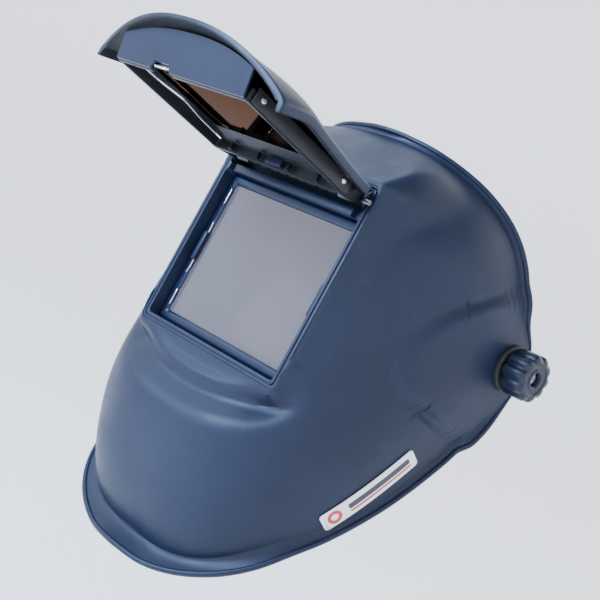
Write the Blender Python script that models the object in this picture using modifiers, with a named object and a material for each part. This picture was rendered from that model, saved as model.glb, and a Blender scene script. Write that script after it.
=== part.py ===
"""Flip-front welding helmet with its headgear, built as separate closed pieces.

Frame: the origin is the middle of the helmet's tilt axis, +X is the wearer's left, -Y is forward
and +Z is up.  The numbers in the tables are millimetres; meshes are written in metres.
"Window space" is (x, depth behind the window's front plane, height above the window's middle).
The flip front is drawn closed in window space and then swung open about its hinge.
"""
import math

import bmesh
import bpy
from mathutils import Vector

MM = 0.001

# ---- main sizes -------------------------------------------------------------------------------
SHELL_THICK = 2.6
SIDE_HALF = 113.0            # half width of the plain shell at the tilt axis
PANEL_RAISE = 4.0            # the raised side panels stand this far out
WINDOW_TILT = math.radians(10.0)
WINDOW_CENTRE = (-122.0, -0.8)       # (y, z) of the middle of the window's front plane
OPEN_HALF_X = 62.0           # the window frame's recess
OPEN_HALF_V = 51.7
SHELL_OPEN_X = 66.8          # the hole in the shell that the window frame fills
SHELL_OPEN_V = (-56.0, 73.0)
HINGE_D, HINGE_V = -2.0, 62.0        # flip-front hinge in window space
WALL_V = -45.4               # foot of the flip front's end wall, above the window's middle
OPEN_ANGLE = math.radians(96.0)      # how far the flip front stands open
AXLE_R = 3.8                 # side bolts
KNOB_R = 14.2

# midline profile: angle above straight ahead (deg), radius from the tilt axis, section exponent
PROFILE = [(-110, 210, 3.1), (-85, 214, 3.0), (-70, 218, 2.9), (-53, 218, 2.8), (-40, 191, 3.0),
           (-25, 160, 2.8), (-10, 144, 2.5), (5, 138, 2.4), (20, 133, 2.4), (35, 128, 2.5),
           (50, 122, 2.5), (70, 115, 2.5), (90, 110, 2.6), (115, 107, 2.6), (180, 115, 2.6)]
# the shell's rear and lower edge in side view (y, z), crown to chin, before the rolled lip
RIM = [(-50, 98), (-32, 88), (-18, 72), (-9, 52), (-4, 30), (12, 10), (10, -12), (-9, -44),
       (-32, -72), (-56, -98), (-82, -121), (-106, -139), (-133, -174)]
PANEL = [(60, 70), (-9, 47), (-58, 24), (-82, -6), (-87, -37), (-62, -51), (-12, -56), (60, -80)]
SIDE_CENTRE = (-46.0, -16.0)         # the side point all grid columns start from


# ---- small tools ------------------------------------------------------------------------------
def clear_scene():
    for obj in list(bpy.data.objects):
        bpy.data.objects.remove(obj, do_unlink=True)


def collection(name):
    coll = bpy.data.collections.get(name) or bpy.data.collections.new(name)
    if coll.name not in bpy.context.scene.collection.children:
        bpy.context.scene.collection.children.link(coll)
    return coll


def material(name, colour, rough, metallic=0.0, alpha=1.0):
    mat = bpy.data.materials.new(name)
    mat.use_nodes = True
    bsdf = mat.node_tree.nodes["Principled BSDF"]
    bsdf.inputs["Base Color"].default_value = (*colour, 1.0)
    bsdf.inputs["Roughness"].default_value = rough
    bsdf.inputs["Metallic"].default_value = metallic
    bsdf.inputs["Alpha"].default_value = alpha
    return mat


PAINT = {
    "shell": ((0.052, 0.078, 0.150), 0.45, 0.0), "frame": ((0.035, 0.052, 0.110), 0.40, 0.0),
    "cover": ((0.055, 0.085, 0.165), 0.42, 0.0), "box": ((0.012, 0.013, 0.016), 0.45, 0.0),
    "clear": ((0.30, 0.29, 0.33), 0.05, 0.0), "filter": ((0.10, 0.06, 0.045), 0.05, 0.0),
    "rubber": ((0.015, 0.015, 0.016), 0.75, 0.0), "chrome": ((0.75, 0.75, 0.77), 0.18, 1.0),
    "steel": ((0.50, 0.50, 0.52), 0.32, 1.0), "knob": ((0.045, 0.060, 0.105), 0.38, 0.0),
    "nylon": ((0.020, 0.020, 0.022), 0.55, 0.0), "foam": ((0.030, 0.030, 0.033), 0.90, 0.0),
    "label": ((0.85, 0.85, 0.86), 0.35, 0.0), "stripe": ((0.45, 0.05, 0.06), 0.40, 0.0),
}


def add_mesh(name, verts, faces, paint, smooth=False):
    mesh = bpy.data.meshes.new(name)
    mesh.from_pydata([(x * MM, y * MM, z * MM) for x, y, z in verts], [], faces)
    bm = bmesh.new()
    bm.from_mesh(mesh)
    bmesh.ops.remove_doubles(bm, verts=bm.verts, dist=2e-6)
    bmesh.ops.recalc_face_normals(bm, faces=bm.faces)
    bm.to_mesh(mesh)
    bm.free()
    obj = bpy.data.objects.new(name, mesh)
    collection("helmet").objects.link(obj)
    mesh.materials.append(material(name + "_mat", *PAINT[paint]))
    for poly in mesh.polygons:
        poly.use_smooth = smooth
    return obj


def loft(loops, closed):
    """Quads between successive loops of equal length; capped at both ends unless closed."""
    n = len(loops[0])
    verts = [p for loop in loops for p in loop]
    faces = []
    rows = len(loops)
    for i in range(rows if closed else rows - 1):
        a, b = i * n, ((i + 1) % rows) * n
        for j in range(n):
            k = (j + 1) % n
            faces.append((a + j, a + k, b + k, b + j))
    if not closed:
        faces.append(tuple(range(n)))
        faces.append(tuple(range((rows - 1) * n, rows * n)))
    return verts, faces


def rounded_rect(half_a, half_b, radius, mid_b=0.0, steps=3):
    pts = []
    for sa, sb, start in ((1, 1, 0), (-1, 1, 90), (-1, -1, 180), (1, -1, 270)):
        for i in range(steps + 1):
            t = math.radians(start + 90.0 * i / steps)
            pts.append((sa * (half_a - radius) + radius * math.cos(t),
                        mid_b + sb * (half_b - radius) + radius * math.sin(t)))
    return pts


def circle(radius, count, lobes=0, depth=0.0):
    pts = []
    for i in range(count):
        t = 2 * math.pi * i / count
        r = radius + depth * math.cos(lobes * t)
        pts.append((r * math.cos(t), r * math.sin(t)))
    return pts


# window space -> helmet frame
def from_window(x, d, v):
    c, s = math.cos(WINDOW_TILT), math.sin(WINDOW_TILT)
    return (x, WINDOW_CENTRE[0] + d * c + v * s, WINDOW_CENTRE[1] - d * s + v * c)


def to_window(x, y, z):
    c, s = math.cos(WINDOW_TILT), math.sin(WINDOW_TILT)
    dy, dz = y - WINDOW_CENTRE[0], z - WINDOW_CENTRE[1]
    return (x, dy * c - dz * s, dy * s + dz * c)


def swung(x, d, v, angle=OPEN_ANGLE):
    """Window space point of the closed flip front -> helmet frame with the front swung open."""
    c, s = math.cos(angle), math.sin(angle)
    dd, dv = d - HINGE_D, v - HINGE_V
    return from_window(x, HINGE_D + dd * c + dv * s, HINGE_V - dd * s + dv * c)


def ring_piece(name, steps, place, paint, smooth=False):
    """Closed ring from rounded rectangles: (half x, half v, corner, mid v, depth) per step."""
    loops = [[place(x, d, v) for x, v in rounded_rect(hx, hv, r, mv)] for hx, hv, r, mv, d in steps]
    return add_mesh(name, *loft(loops, True), paint, smooth)


def slab(name, half_x, half_v, radius, mid_v, d0, d1, place, paint):
    loops = [[place(x, d, v) for x, v in rounded_rect(half_x, half_v, radius, mid_v)]
             for d in (d0, d1)]
    return add_mesh(name, *loft(loops, False), paint)


def block(name, x0, x1, a0, a1, b0, b1, place, paint):
    loops = [[place(x, a, b) for a, b in ((a0, b0), (a1, b0), (a1, b1), (a0, b1))] for x in (x0, x1)]
    return add_mesh(name, *loft(loops, False), paint)


def turned(name, profile, paint, place, count=24, lobes=0, depth=0.0, lobed_from=10.0):
    """Closed piece of revolution from (along, radius) points; radius 0 at both ends caps it."""
    capped = profile[0][1] == 0.0
    loops = []
    for along, r in (profile[1:-1] if capped else profile):
        grow = depth if r > lobed_from else 0.0
        loops.append([place(along, a, b) for a, b in circle(r, count, lobes, grow)])
    return add_mesh(name, *loft(loops, not capped), paint, True)


def strip(name, path, ups, width, thick, paint):
    """Flat strap along a path: ups are the width directions, the thickness faces outward."""
    loops = []
    last = len(path) - 1
    for i, (p, up) in enumerate(zip(path, ups)):
        point, up_dir = Vector(p), Vector(up).normalized()
        along = (Vector(path[min(i + 1, last)]) - Vector(path[max(i - 1, 0)])).normalized()
        out = along.cross(up_dir).normalized()
        up_dir = out.cross(along).normalized()
        w = width[i] if isinstance(width, (list, tuple)) else width
        corners = [(-0.5, -0.5), (-0.5, 0.5), (0.5, 0.5), (0.5, -0.5)]
        loops.append([tuple(point + up_dir * (w * a) + out * (thick * b)) for a, b in corners])
    return add_mesh(name, *loft(loops, False), paint, False)


def cut(obj, cutters):
    for cutter in cutters:
        mod = obj.modifiers.new("cut_" + cutter.name, "BOOLEAN")
        mod.operation = "DIFFERENCE"
        mod.solver = "EXACT"
        mod.object = cutter


def cutter(name, loops, closed=False):
    obj = add_mesh(name, *loft(loops, closed), "steel")
    for coll in list(obj.users_collection):
        coll.objects.unlink(obj)
    collection("cutters").objects.link(obj)
    obj.hide_render = True
    obj.display_type = "WIRE"
    return obj


def axle_hole(name, side, x0, x1, radius):
    return cutter(name, [[(side * x, a, b) for a, b in circle(radius, 24)] for x in (x0, x1)])


# ---- the shell's surface ----------------------------------------------------------------------
def blend_table(table, t, col):
    if t <= table[0][0]:
        return table[0][col]
    for (a, b) in zip(table, table[1:]):
        if t <= b[0]:
            i = table.index(a)
            before = table[max(i - 1, 0)]
            after = table[min(i + 2, len(table) - 1)]
            h = b[0] - a[0]
            u = (t - a[0]) / h
            m0 = (b[col] - before[col]) / (b[0] - before[0]) * h
            m1 = (after[col] - a[col]) / (after[0] - a[0]) * h
            return ((2 * u ** 3 - 3 * u ** 2 + 1) * a[col] + (u ** 3 - 2 * u ** 2 + u) * m0
                    + (3 * u ** 2 - 2 * u ** 3) * b[col] + (u ** 3 - u ** 2) * m1)
    return table[-1][col]


def smoothstep(a, b, x):
    t = max(0.0, min(1.0, (x - a) / (b - a)))
    return t * t * (3 - 2 * t)


def angle_of(y, z):
    t = math.degrees(math.atan2(z, -y))
    return t + 360.0 if t < -130.0 else t


def profile_radius(t):
    return blend_table(PROFILE, t, 1)


def body_x(y, z):
    t = angle_of(y, z)
    n = blend_table(PROFILE, t, 2)
    r = math.hypot(y, z) / profile_radius(t)
    return SIDE_HALF * max(0.0, 1.0 - r ** n) ** (1.0 / n)


def panel_distance(y, z):
    """Distance outside the raised side panel's rounded outline (negative inside)."""
    total = 0.0
    for (ay, az), (by, bz) in zip(PANEL, PANEL[1:]):
        ey, ez = by - ay, bz - az
        dist = ((y - ay) * ez - (z - az) * ey) / math.hypot(ey, ez)
        total += math.exp(max(-60.0, min(60.0, dist / 6.0)))
    return 6.0 * math.log(total)


def smooth_min(a, b, k):
    h = max(0.0, min(1.0, 0.5 + 0.5 * (b - a) / k))
    return b * (1 - h) + a * h - k * h * (1 - h)


def shaped(x, y, z):
    """Add the raised panel, the window boss and the hollow under it to a plain shell point."""
    side = smoothstep(60.0, 90.0, x)
    x += side * PANEL_RAISE * (1.0 - smoothstep(-2.6, 2.6, panel_distance(y, z)))
    wx, d, v = to_window(x, y, z)
    near = 1.0 - smoothstep(36.0, 62.0, d)
    hollow = math.exp(-((v + 76.0 - 14.0 * (wx / 70.0) ** 2) / 10.0) ** 2)
    d += 10.5 * near * hollow * (1.0 - smoothstep(58.0, 88.0, wx))
    low = -68.0 + 10.0 * (wx / 70.0) ** 2
    aside = max(0.0, wx - 67.0)
    boss = (0.95 * aside + 0.08 * aside ** 2 + 2.2 * max(0.0, low - v)
            + 1.2 * max(0.0, v - 76.0))
    pressed = smooth_min(d, boss, 5.0)
    flat = 1.0 - smoothstep(62.0, 74.0, wx)
    flat *= smoothstep(low - 4.0, low + 4.0, v) * (1.0 - smoothstep(76.0, 92.0, v))
    pressed += flat * (max(pressed, 0.0) - pressed)
    return from_window(wx, d + near * (pressed - d), v)


def along_curve(points, count):
    """Points spaced evenly along a polyline."""
    dist = [0.0]
    for a, b in zip(points, points[1:]):
        dist.append(dist[-1] + (Vector(b) - Vector(a)).length)
    out, j = [], 0
    for i in range(count):
        s = dist[-1] * i / (count - 1)
        while j < len(points) - 2 and dist[j + 1] < s:
            j += 1
        f = (s - dist[j]) / (dist[j + 1] - dist[j])
        out.append(tuple(Vector(points[j]).lerp(Vector(points[j + 1]), min(1.0, max(0.0, f)))))
    return out


def rim_points(count):
    """The body's free edge as (x, y, z) points from the crown round the side to the chin."""
    ends = []
    for y, z in (RIM[0], RIM[-1]):
        t = angle_of(y, z)
        r = profile_radius(t) - 1e-6
        ends.append((-r * math.cos(math.radians(t)), r * math.sin(math.radians(t))))
    table = [ends[0]] + RIM[1:-1] + [ends[1]]
    knots = [(float(i), y, z) for i, (y, z) in enumerate(table)]
    dense = []
    for i in range(600):
        s = (len(table) - 1) * i / 599.0
        y, z = blend_table(knots, s, 1), blend_table(knots, s, 2)
        dense.append((body_x(y, z), y, z))
    return [(y, z) for x, y, z in along_curve(dense, count)]


def column_ends(front_cols, rim_cols):
    """Where the half shell's grid columns end in side view: the midline first, then the rim."""
    t0, t1 = angle_of(*RIM[0]), angle_of(*RIM[-1])
    ends = []
    for i in range(front_cols):
        t = t1 + (t0 - t1) * i / front_cols
        r = profile_radius(t)
        ends.append((-r * math.cos(math.radians(t)), r * math.sin(math.radians(t))))
    return ends, rim_points(rim_cols)[:-1]


def grid_column(ey, ez, rows, crowd):
    """One column from the side centre to its end; crowd packs rows towards a midline end."""
    col = []
    for k in range(rows + 1):
        f = k / rows
        g = f * (1.0 - crowd) + crowd * math.sin(f * math.pi / 2) ** 0.9
        y = SIDE_CENTRE[0] + (ey - SIDE_CENTRE[0]) * g
        z = SIDE_CENTRE[1] + (ez - SIDE_CENTRE[1]) * g
        col.append((body_x(y, z), y, z))
    return col


def lip_frame(verts, before, here, after, inner, end):
    """Directions at a rim point: onward over the edge, and outward from the shell."""
    along = (Vector(verts[after]) - Vector(verts[before])).normalized()
    if end:
        along = Vector((1.0, 0.0, 0.0))
    away = Vector(verts[here]) - Vector(verts[inner])
    away = (away - along * away.dot(along)).normalized()
    normal = along.cross(away).normalized()
    if normal.dot(Vector(verts[here]) - Vector((0.0, -30.0, -40.0))) < 0:
        normal = -normal
    return away, normal


def build_shell(front_cols=38, rim_cols=24, rows=12, lip_rows=2):
    front, rim = column_ends(front_cols, rim_cols)
    verts, faces = [], []
    n = len(front) + len(rim)
    width = rows + 1
    for c, (ey, ez) in enumerate(front + rim):
        past = c - front_cols
        crowd = 1.0 if past <= 0 else max(0.0, 1.0 - 0.25 * min(past, n - c))
        col = grid_column(ey, ez, rows, crowd)
        points = [shaped(*p) for p in col]
        if past <= 0:
            points[-1] = (0.0, points[-1][1], points[-1][2])
        verts += points
    for c in range(n):
        a, b = c * width, ((c + 1) % n) * width
        for k in range(rows):
            faces.append((a + k, b + k, b + k + 1, a + k + 1))
    # the rolled lip: rows outside the rim columns, flared most at the chin
    order = [c * width + rows for c in list(range(front_cols, n)) + [0]]
    last = len(order) - 1
    lip = []
    for k, here in enumerate(order):
        away, normal = lip_frame(verts, order[max(k - 1, 0)], here, order[min(k + 1, last)],
                                 here - 1, k in (0, last))
        x, y, z = verts[here]
        chin = smoothstep(-60.0, -150.0, z) * smoothstep(112.0, 80.0, x)
        by_axle = smoothstep(16.0, 40.0, math.hypot(y, z))
        middle = smoothstep(66.0, 0.0, x)
        reach, flare = 4.0 + (3.5 + 6.0 * middle) * chin, 3.0 * by_axle + 4.0 * chin
        row = [here]
        for j in range(1, lip_rows + 1):
            f = j / lip_rows
            p = Vector(verts[here]) + away * (reach * f) + normal * (flare * f ** 1.7)
            row.append(len(verts))
            verts.append((0.0 if k in (0, last) else p.x, p.y, p.z))
        lip.append(row)
    for a, b in zip(lip, lip[1:]):
        for j in range(lip_rows):
            faces.append((a[j], b[j], b[j + 1], a[j + 1]))
    half = len(verts)
    verts += [(-x, y, z) for x, y, z in verts]
    faces += [tuple(half + i for i in reversed(f)) for f in faces]
    shell = add_mesh("shell", verts, faces, "shell", True)
    bm = bmesh.new()
    bm.from_mesh(shell.data)
    bmesh.ops.remove_doubles(bm, verts=bm.verts, dist=2e-5)
    bmesh.ops.recalc_face_normals(bm, faces=bm.faces)
    widest = max(bm.faces, key=lambda f: f.calc_center_median().x)
    if widest.normal.x < 0:
        bmesh.ops.reverse_faces(bm, faces=bm.faces)
    bm.to_mesh(shell.data)
    bm.free()
    thick = shell.modifiers.new("thickness", "SOLIDIFY")
    thick.thickness = SHELL_THICK * MM
    thick.offset = -1.0
    mid, half_v = (SHELL_OPEN_V[0] + SHELL_OPEN_V[1]) / 2, (SHELL_OPEN_V[1] - SHELL_OPEN_V[0]) / 2
    outline = rounded_rect(SHELL_OPEN_X, half_v, 4.0, mid)
    opening = cutter("cut_window", [[from_window(x, d, v) for x, v in outline]
                                    for d in (-60.0, 45.0)])
    cut(shell, [opening, axle_hole("cut_axle_left", 1, 95.0, 130.0, AXLE_R + 0.7),
                axle_hole("cut_axle_right", -1, 95.0, 130.0, AXLE_R + 0.7)])
    return shell


# ---- window parts -----------------------------------------------------------------------------
def build_window():
    mid = (SHELL_OPEN_V[0] + SHELL_OPEN_V[1]) / 2
    half = (SHELL_OPEN_V[1] - SHELL_OPEN_V[0]) / 2 - 0.4
    hx = SHELL_OPEN_X - 0.4
    frame = ring_piece("window_frame", [
        (hx, half, 3.6, mid, 0.6), (hx, half, 3.6, mid, 17.5), (52.0, 42.0, 3.0, 0.0, 17.5),
        (52.0, 42.0, 3.0, 0.0, 12.4), (OPEN_HALF_X, OPEN_HALF_V, 2.0, 0.0, 12.4),
        (OPEN_HALF_X, OPEN_HALF_V, 2.0, 0.0, 0.6)], from_window, "frame")
    pocket = cutter("cut_pocket", [[from_window(x, d, v) for x, v in rounded_rect(
        62.5, 6.8, 2.0, 63.2)] for d in (-6.0, 14.0)])
    # notches the flip front's arms swing down into
    notches = [cutter("cut_notch_" + tag, [[from_window(side * x, d, v) for d, v in (
        (-6.0, 49.0), (4.6, 49.0), (4.6, 60.0), (-6.0, 60.0))] for x in (54.6, 60.4)])
        for side, tag in ((1, "left"), (-1, "right"))]
    cut(frame, [pocket] + notches)
    ring_piece("window_gasket", [
        (61.6, 51.3, 1.8, 0.0, 8.4), (61.6, 51.3, 1.8, 0.0, 12.1), (55.4, 45.4, 1.5, 0.0, 12.1),
        (55.4, 45.4, 1.5, 0.0, 8.4)], from_window, "rubber")
    slab("clear_lens", 55.1, 45.1, 1.5, 0.0, 9.4, 11.6, from_window, "clear")
    for side, tag in ((1, "left"), (-1, "right")):
        x0, x1 = sorted((side * 55.9, side * 58.6))
        block("lens_clip_" + tag, x0, x1, 6.3, 8.1, -12.0, 12.0, from_window, "frame")
        loops = [[from_window(side * x, HINGE_D + a, HINGE_V + b) for a, b in circle(1.6, 16)]
                 for x in (53.6, 66.0)]
        add_mesh("hinge_pin_" + tag, *loft(loops, False), "chrome", True)


# ---- flip front -------------------------------------------------------------------------------
def cover_half_width(v):
    return 85.0 - 18.5 * smoothstep(-50.0, 64.0, v)


def cover_edge(v):
    return 0.8 - 9.4 * smoothstep(-54.0, -16.0, v)


def cover_depth(x, v):
    w = cover_half_width(v)
    crown = 8.5 + 15.8 * smoothstep(8.0, -52.0, v)
    return cover_edge(v) - crown * max(0.0, 1.0 - (abs(x) / w) ** 2.3) ** 0.75


def build_cover(cols=22, rows=9):
    """The curved outer cover: a skin 3 mm thick with a turned-in edge along its two sides."""
    top, loops = 56.0, []
    for i in range(rows + 1):
        g = i / rows
        outer, inner = [], []
        for j in range(cols + 1):
            s = -1.0 + 2.0 * j / cols
            s = math.copysign(abs(s) ** 0.8, s)
            low = -64.0 + 20.0 * abs(s) ** 2.2
            v = top + (low - top) * g
            w = cover_half_width(v)
            x = s * w
            outer.append((x, cover_depth(x, v), v))
            inset = w - 3.4
            xi = s * inset
            inner.append((xi, cover_depth(x, v) + (3.0 if abs(s) < 0.99 else 0.0), v))
        edge = 5.2
        ring = outer + [(outer[-1][0], outer[-1][1] + edge, outer[-1][2])]
        ring += [(inner[-1][0], inner[-1][1] + edge, inner[-1][2])] + inner[-2:0:-1]
        ring += [(inner[0][0], inner[0][1] + edge, inner[0][2]),
                 (outer[0][0], outer[0][1] + edge, outer[0][2])]
        loops.append([swung(*p) for p in ring])
    return add_mesh("flip_cover", *loft(loops, False), "cover", False)


def build_flip():
    build_cover()
    # open box that carries the filter: walls all round and a ledge for the glass
    mid, half = 1.3, 46.9
    ring_piece("filter_box", [
        (60.4, half, 2.0, mid, 3.8), (60.4, half, 2.0, mid, -3.6), (52.5, 33.0, 2.0, mid, -9.1),
        (46.0, 24.0, 1.5, mid, -9.1), (46.0, 24.0, 1.5, mid, -7.7), (51.4, 29.4, 1.5, mid, -7.7),
        (51.4, 29.4, 1.5, mid, -4.6), (57.6, 43.9, 1.5, mid, -2.2), (57.6, 43.9, 1.5, mid, 3.8)],
        swung, "box")
    # the wall at the free end rises to the cover's underside
    loops = []
    for i in range(17):
        x = 57.5 * (-1.0 + i / 8.0)
        high = cover_depth(x, WALL_V - 4.0) + 4.6
        high_v = WALL_V + 0.33 * (high + 4.8)
        loops.append([swung(x, -4.8, WALL_V + 1.6), swung(x, high, high_v + 1.6),
                      swung(x, high, high_v), swung(x, -4.8, WALL_V)])
    add_mesh("box_end_wall", *loft(loops, False), "frame")
    slab("filter_lens", 51.0, 29.0, 1.0, mid, -7.4, -5.8, swung, "filter")
    slab("filter_cover_plate", 51.0, 29.0, 1.0, mid, -5.5, -4.7, swung, "clear")
    for side, tag in ((1, "left"), (-1, "right")):
        # arm: runs back from the box's end wall to the hinge pin
        outline = [(3.4, 48.6), (3.4, 50.5), (0.6, 64.5), (-2.4, 65.3), (-5.0, 63.0),
                   (-4.2, 48.6)]
        x0, x1 = sorted((side * 55.4, side * 59.4))
        loops = [[swung(x, d, v) for d, v in outline] for x in (x0, x1)]
        arm = add_mesh("flip_arm_" + tag, *loft(loops, False), "box")
        bore = cutter("cut_arm_" + tag, [[swung(side * x, HINGE_D + a, HINGE_V + b)
                                          for a, b in circle(1.9, 16)] for x in (50.0, 65.0)])
        cut(arm, [bore])
        # side bar screwed along the box wall, with its pivot screw
        x0, x1 = sorted((side * 60.7, side * 61.6))
        block("side_bar_" + tag, x0, x1, -5.6, 3.0, -43.0, 47.0, swung, "frame")
        loops = [[swung(side * x, -2.1 + a, 40.0 + b) for a, b in circle(r, 16)]
                 for x, r in ((61.9, 1.8), (62.3, 1.7), (62.5, 1.2))]
        add_mesh("bar_screw_" + tag, *loft(loops, False), "steel", True)
        # bent wire along the inside of the box wall
        rod = [(side * 52.5, -1.4, 40.0), (side * 53.5, -2.0, 22.0), (side * 49.0, -2.6, 2.0),
               (side * 53.5, -2.0, -18.0), (side * 52.5, -1.4, -37.0)]
        loops = []
        for p in along_curve(rod, 15):
            loops.append([swung(p[0] + a, p[1] + b, p[2]) for a, b in circle(0.75, 8)])
        add_mesh("retainer_wire_" + tag, *loft(loops, False), "chrome", True)


# ---- side fixings -----------------------------------------------------------------------------
def build_side(side, tag):
    def on_axle(along, a, b):
        return (side * along, a, b)

    turned("side_knob_" + tag, [
        (120.2, 4.2), (120.2, 10.0), (121.0, KNOB_R - 0.6), (122.0, KNOB_R), (136.2, KNOB_R),
        (137.6, KNOB_R - 1.4), (137.6, 4.2)], "knob", on_axle, 40, 10, 0.75)
    turned("outer_washer_" + tag, [(117.4, 4.4), (117.4, 14.8), (119.2, 14.8), (119.9, 13.8),
                                   (119.9, 4.4)], "rubber", on_axle)
    turned("pivot_bolt_" + tag, [(102.4, 0.0), (102.4, 6.6), (104.6, 7.0), (104.6, AXLE_R),
                                 (134.2, AXLE_R), (135.0, AXLE_R - 0.8), (135.0, 0.0)],
           "steel", on_axle)
    turned("friction_washer_" + tag, [(108.9, 4.4), (108.9, 13.0), (110.9, 13.0), (110.9, 4.4)],
           "rubber", on_axle)
    turned("stop_plate_" + tag, [(111.2, 4.4), (111.2, 15.0), (113.6, 15.0), (113.6, 4.4)],
           "nylon", on_axle)
    # a flat bar from the headband out to a broad end on the axle
    path = [(side * 81.0, -52.0, 20.0), (side * 86.5, -44.0, 17.0), (side * 97.0, -30.0, 12.0),
            (side * 104.5, -17.0, 6.0), (side * 106.4, -8.0, 2.6), (side * 106.4, 14.0, -5.0)]
    path = along_curve(path, 12)
    widths = [16.0] * 6 + [17.0, 19.0, 22.0, 24.0, 22.0, 14.0]
    arm = strip("pivot_arm_" + tag, path, [(0.0, 0.35, 0.94)] * len(path), widths, 2.2, "nylon")
    cut(arm, [axle_hole("cut_eye_" + tag, side, 100.0, 112.0, AXLE_R + 0.4)])


# ---- headgear ---------------------------------------------------------------------------------
HEAD_A, HEAD_B = 78.0, 95.0          # half width and half length of the headband's loop
HEAD_MID = (12.0, 4.0)               # (y, z) of the loop's middle
HEAD_TIP = math.radians(16.0)        # the loop drops towards the back
HEAD_UP = (0.0, math.sin(HEAD_TIP), math.cos(HEAD_TIP))
HEAD_BACK = (0.0, math.cos(HEAD_TIP), -math.sin(HEAD_TIP))


def band_point(t, grow=0.0, rise=0.0):
    """Point on the headband at angle t round from the forehead towards the wearer's left."""
    a = -(HEAD_B + grow) * math.cos(t)
    return ((HEAD_A + grow) * math.sin(t), HEAD_MID[0] + a * HEAD_BACK[1] + rise * HEAD_UP[1],
            HEAD_MID[1] + a * HEAD_BACK[2] + rise * HEAD_UP[2])


def band_strip(name, deg0, deg1, steps, grow, width, thick, paint):
    angles = [math.radians(deg0 + (deg1 - deg0) * i / (steps - 1)) for i in range(steps)]
    path = [band_point(t, grow) for t in angles]
    return strip(name, path, [HEAD_UP] * steps, width, thick, paint)


def behind(along, a, b):
    """Point on the ratchet's axis frame: along it, across (x) and up."""
    base = band_point(math.pi)
    return (a, base[1] + along * HEAD_BACK[1] + b * HEAD_UP[1],
            base[2] + along * HEAD_BACK[2] + b * HEAD_UP[2])


def crown_path(side, drop, steps=18):
    path = []
    for i in range(steps):
        u = math.radians(7.0 + 91.0 * i / (steps - 1))
        lower = drop * smoothstep(60.0, 80.0, math.degrees(u))
        path.append((side * 73.6 * math.cos(u), 4.0 - 6.0 * math.sin(u),
                     6.0 + (88.0 - lower) * math.sin(u)))
    return path


def build_headgear():
    band_strip("front_band", -128, 128, 41, 0.0, 24.0, 2.0, "nylon")
    band_strip("sweat_pad", -52, 52, 21, -4.9, 32.0, 7.2, "foam")
    band_strip("nape_pad", 160, 200, 13, -4.6, 26.0, 6.4, "foam")
    for side, tag in ((1, "left"), (-1, "right")):
        band_strip("rear_tail_" + tag, side * 108, side * 151.5, 10, 2.6, 14.0, 2.0, "nylon")
        strap = strip("crown_strap_" + tag, crown_path(side, 0.0 if side > 0 else 2.4),
                      [(0.0, 1.0, 0.0)] * 18, 18.0, 1.6, "nylon")
        cut(strap, [cutter("cut_crown_" + tag, [[(a, -2.0 + b, z) for a, b in circle(2.5, 20)]
                                                for z in (80.0, 100.0)])])
    turned("crown_pin", [(88.9, 0.0), (88.9, 4.6), (90.2, 5.0), (90.2, 2.1), (95.4, 2.1),
                         (95.4, 5.0), (96.6, 4.4), (96.6, 0.0)], "nylon",
           lambda z, a, b: (a, -2.0 + b, z), 20)
    housing = band_strip("ratchet_housing", 152, 208, 19, 3.6, 30.0, 6.0, "nylon")
    cover = band_strip("ratchet_cover", 156, 204, 17, 7.9, 26.0, 1.6, "nylon")
    pocket = cutter("cut_pinion_pocket", [[behind(z, a, b) for a, b in circle(7.2, 28)]
                                          for z in (-4.0, 3.2)])
    shaft = cutter("cut_shaft", [[behind(z, a, b) for a, b in circle(3.0, 24)]
                                 for z in (0.0, 14.0)])
    cut(housing, [pocket, shaft])
    cut(cover, [shaft])
    turned("pinion", [(0.7, 0.0), (0.7, 5.6), (2.7, 5.6), (2.7, 2.7), (18.0, 2.7), (18.0, 0.0)],
           "nylon", behind, 48, 8, 0.8, 5.0)
    turned("ratchet_knob", [(9.4, 3.0), (9.4, 15.0), (10.6, 16.4), (18.2, 16.4), (20.2, 14.2),
                            (20.2, 3.0)], "knob", behind, 48, 12, 0.8)


# ---- label ------------------------------------------------------------------------------------
LABEL_MID = (-66.5, -92.0)           # (y, z) of the label's middle
LABEL_RUN = math.radians(53.0)       # its long side rises towards the back by this much


def label_piece(name, half_a, half_b, mid_a, inner, outer, paint, cols=12):
    """Plate that follows the cheek; a runs along the label and b across it."""
    ca, sa = math.cos(LABEL_RUN), math.sin(LABEL_RUN)

    def surface(a, b, lift):
        def at(p, q):
            y, z = LABEL_MID[0] + p * ca - q * sa, LABEL_MID[1] + p * sa + q * ca
            return Vector((body_x(y, z), y, z))
        here = at(a, b)
        out = (at(a + 0.5, b) - here).cross(at(a, b + 0.5) - here).normalized()
        if out.x < 0:
            out = -out
        return tuple(here + out * lift)

    loops = []
    for i in range(cols + 1):
        a = mid_a + half_a * (-1.0 + 2.0 * i / cols)
        b = half_b - (1.2 if i in (0, cols) else 0.0) * (half_b > 4.0)
        loops.append([surface(a, -b, inner), surface(a, 0.0, inner), surface(a, b, inner),
                      surface(a, b, outer), surface(a, 0.0, outer), surface(a, -b, outer)])
    return add_mesh(name, *loft(loops, False), paint)


def main():
    clear_scene()
    build_shell()
    build_window()
    build_flip()
    for side, tag in ((1, "left"), (-1, "right")):
        build_side(side, tag)
    build_headgear()
    label_piece("label_plate", 33.0, 6.2, 0.0, 0.8, 1.4, "label")
    label_piece("label_stripe", 24.0, 1.3, 4.0, 1.7, 2.0, "stripe")


main()
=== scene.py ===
"""Looks of the flip-front welding helmet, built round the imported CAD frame.

Tables are millimetres in the CAD frame: +X is the wearer's left, -Y forward, +Z up, and the origin
is the middle of the tilt axis.  "Window space" is (x, depth behind the window's front plane,
height above the window's middle).
"""
import math

import bmesh
import bpy
from mathutils import Matrix, Vector


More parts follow.
